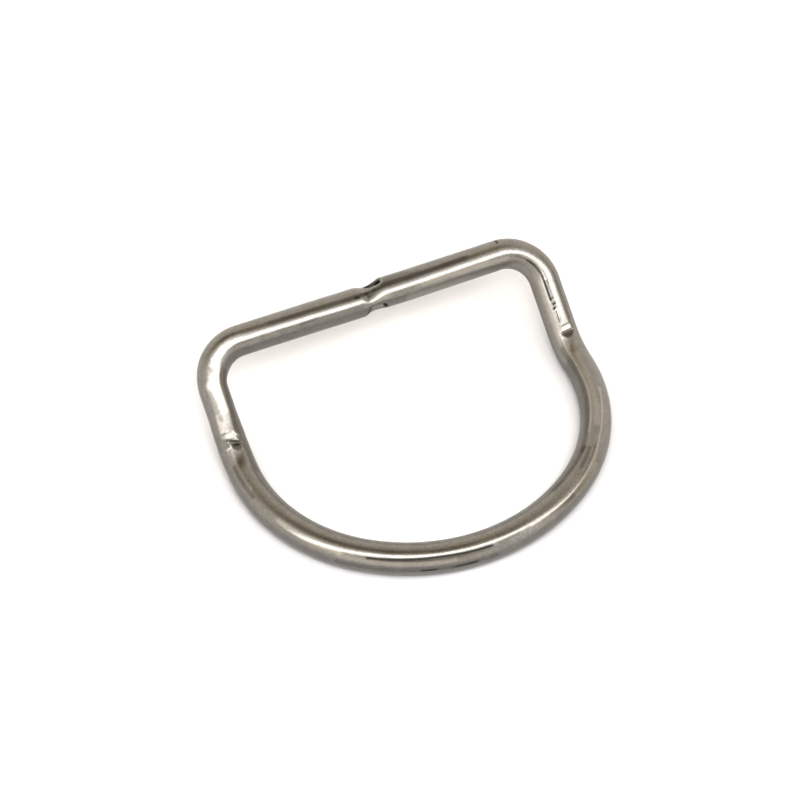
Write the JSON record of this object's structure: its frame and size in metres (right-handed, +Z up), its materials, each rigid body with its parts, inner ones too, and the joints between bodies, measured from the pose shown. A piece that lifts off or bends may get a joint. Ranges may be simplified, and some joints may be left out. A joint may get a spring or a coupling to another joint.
{
  "type": "bent d ring",
  "caption": "Bent D ring of round steel wire: a welded straight bar for webbing, rounded corners and parallel legs that rise from a flat round bow.",
  "frame": {"origin": "centre of the ring's footprint, on the surface that its bow lies on", "axes": "+X along the bar, +Y from the bow's tip towards the bar, +Z up from that surface"},
  "size_m": [0.0604, 0.048, 0.0155],
  "materials": {
    "stainless_wire": "satin, tumbled stainless steel wire"
  },
  "bodies": {
    "root": {"ring": "stainless_wire"}
  },
  "joints": []
}
